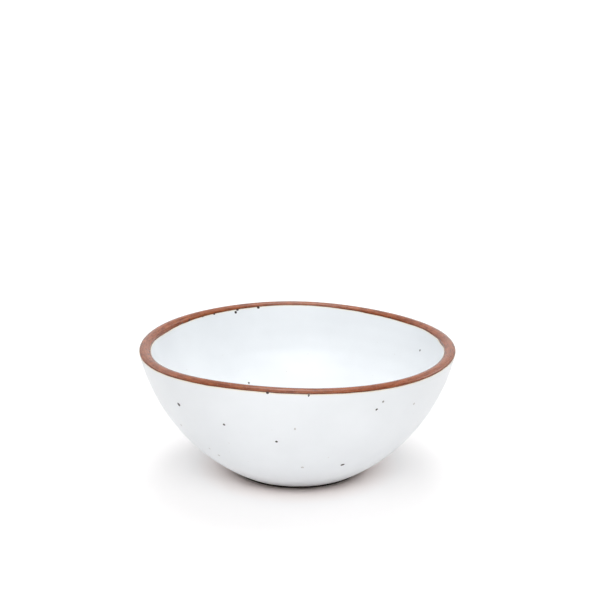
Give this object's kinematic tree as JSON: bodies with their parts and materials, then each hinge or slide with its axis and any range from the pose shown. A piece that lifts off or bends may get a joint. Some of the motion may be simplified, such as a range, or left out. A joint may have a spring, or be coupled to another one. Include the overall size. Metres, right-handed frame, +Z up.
{
  "type": "soup bowl",
  "caption": "Round stoneware soup bowl with a curved flaring wall, white satin glaze inside and out, a bare brown clay rim and a low foot ring.",
  "frame": {"origin": "centre of the foot ring, on the plane that the bowl stands on", "axes": "+Z up along the bowl's axis of revolution; +X and +Y are level and alike, because the bowl is round"},
  "size_m": [0.1654, 0.1654, 0.068],
  "materials": {
    "clay": "bare fired red-brown stoneware, matt, with fine dark grains",
    "glaze": "cool white satin glaze with scattered brown iron specks"
  },
  "bodies": {
    "root": {"clay_body": "clay", "inside_glaze": "glaze", "outside_glaze": "glaze"}
  },
  "joints": []
}
